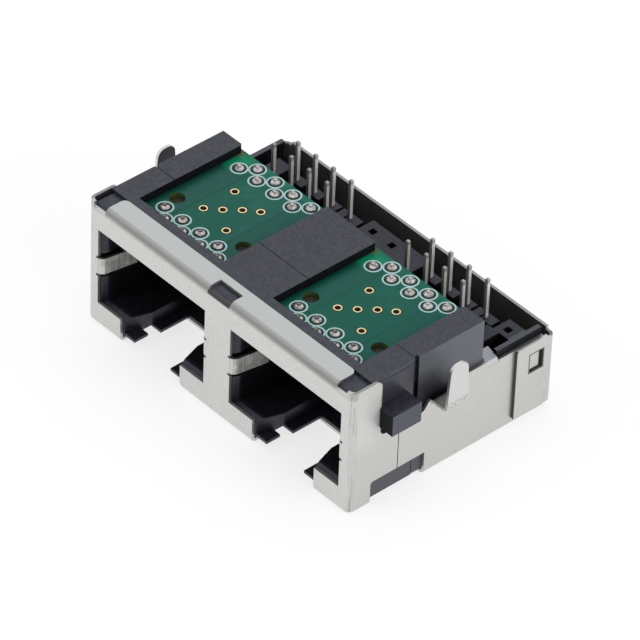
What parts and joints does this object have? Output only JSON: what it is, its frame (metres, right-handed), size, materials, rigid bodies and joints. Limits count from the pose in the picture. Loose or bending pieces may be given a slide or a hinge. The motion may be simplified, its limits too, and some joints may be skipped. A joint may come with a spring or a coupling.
{
  "type": "ethernet connector",
  "caption": "Shielded modular jack block with side-by-side ports, circuit boards in its frame, and square pins and ground tabs for a host board.",
  "frame": {"origin": "middle of the cover plate's outer face, under the middle of the body's depth", "axes": "+X across the ports to the right one, -Y out of the ports, +Z along the pins' way out"},
  "size_m": [0.0334, 0.0204, 0.0117],
  "materials": {
    "shield": "plain nickel-plated sheet",
    "housing": "moulded, fine grain",
    "board": "green solder mask",
    "carrier": "moulded",
    "solder": "bright solder",
    "contact": "gold-plated",
    "pin": "tin-plated"
  },
  "bodies": {
    "root": {"main_shield": "shield", "rear_shield": "shield", "front_housing": "housing", "rear_housing": "housing", "circuit_board_left": "board", "contact_carrier_left": "carrier", "solder_joints_left": "solder", "contact_wire_left_1": "contact", "terminal_pin_left_1": "pin", "contact_wire_left_2": "contact", "terminal_pin_left_2": "pin", "contact_wire_left_3": "contact", "terminal_pin_left_3": "pin", "contact_wire_left_4": "contact", "terminal_pin_left_4": "pin", "contact_wire_left_5": "contact", "terminal_pin_left_5": "pin", "contact_wire_left_6": "contact", "terminal_pin_left_6": "pin", "contact_wire_left_7": "contact", "terminal_pin_left_7": "pin", "contact_wire_left_8": "contact", "terminal_pin_left_8": "pin", "circuit_board_right": "board", "contact_carrier_right": "carrier", "solder_joints_right": "solder", "contact_wire_right_1": "contact", "terminal_pin_right_1": "pin", "contact_wire_right_2": "contact", "terminal_pin_right_2": "pin", "contact_wire_right_3": "contact", "terminal_pin_right_3": "pin", "contact_wire_right_4": "contact", "terminal_pin_right_4": "pin", "contact_wire_right_5": "contact", "terminal_pin_right_5": "pin", "contact_wire_right_6": "contact", "terminal_pin_right_6": "pin", "contact_wire_right_7": "contact", "terminal_pin_right_7": "pin", "contact_wire_right_8": "contact", "terminal_pin_right_8": "pin"}
  },
  "joints": []
}
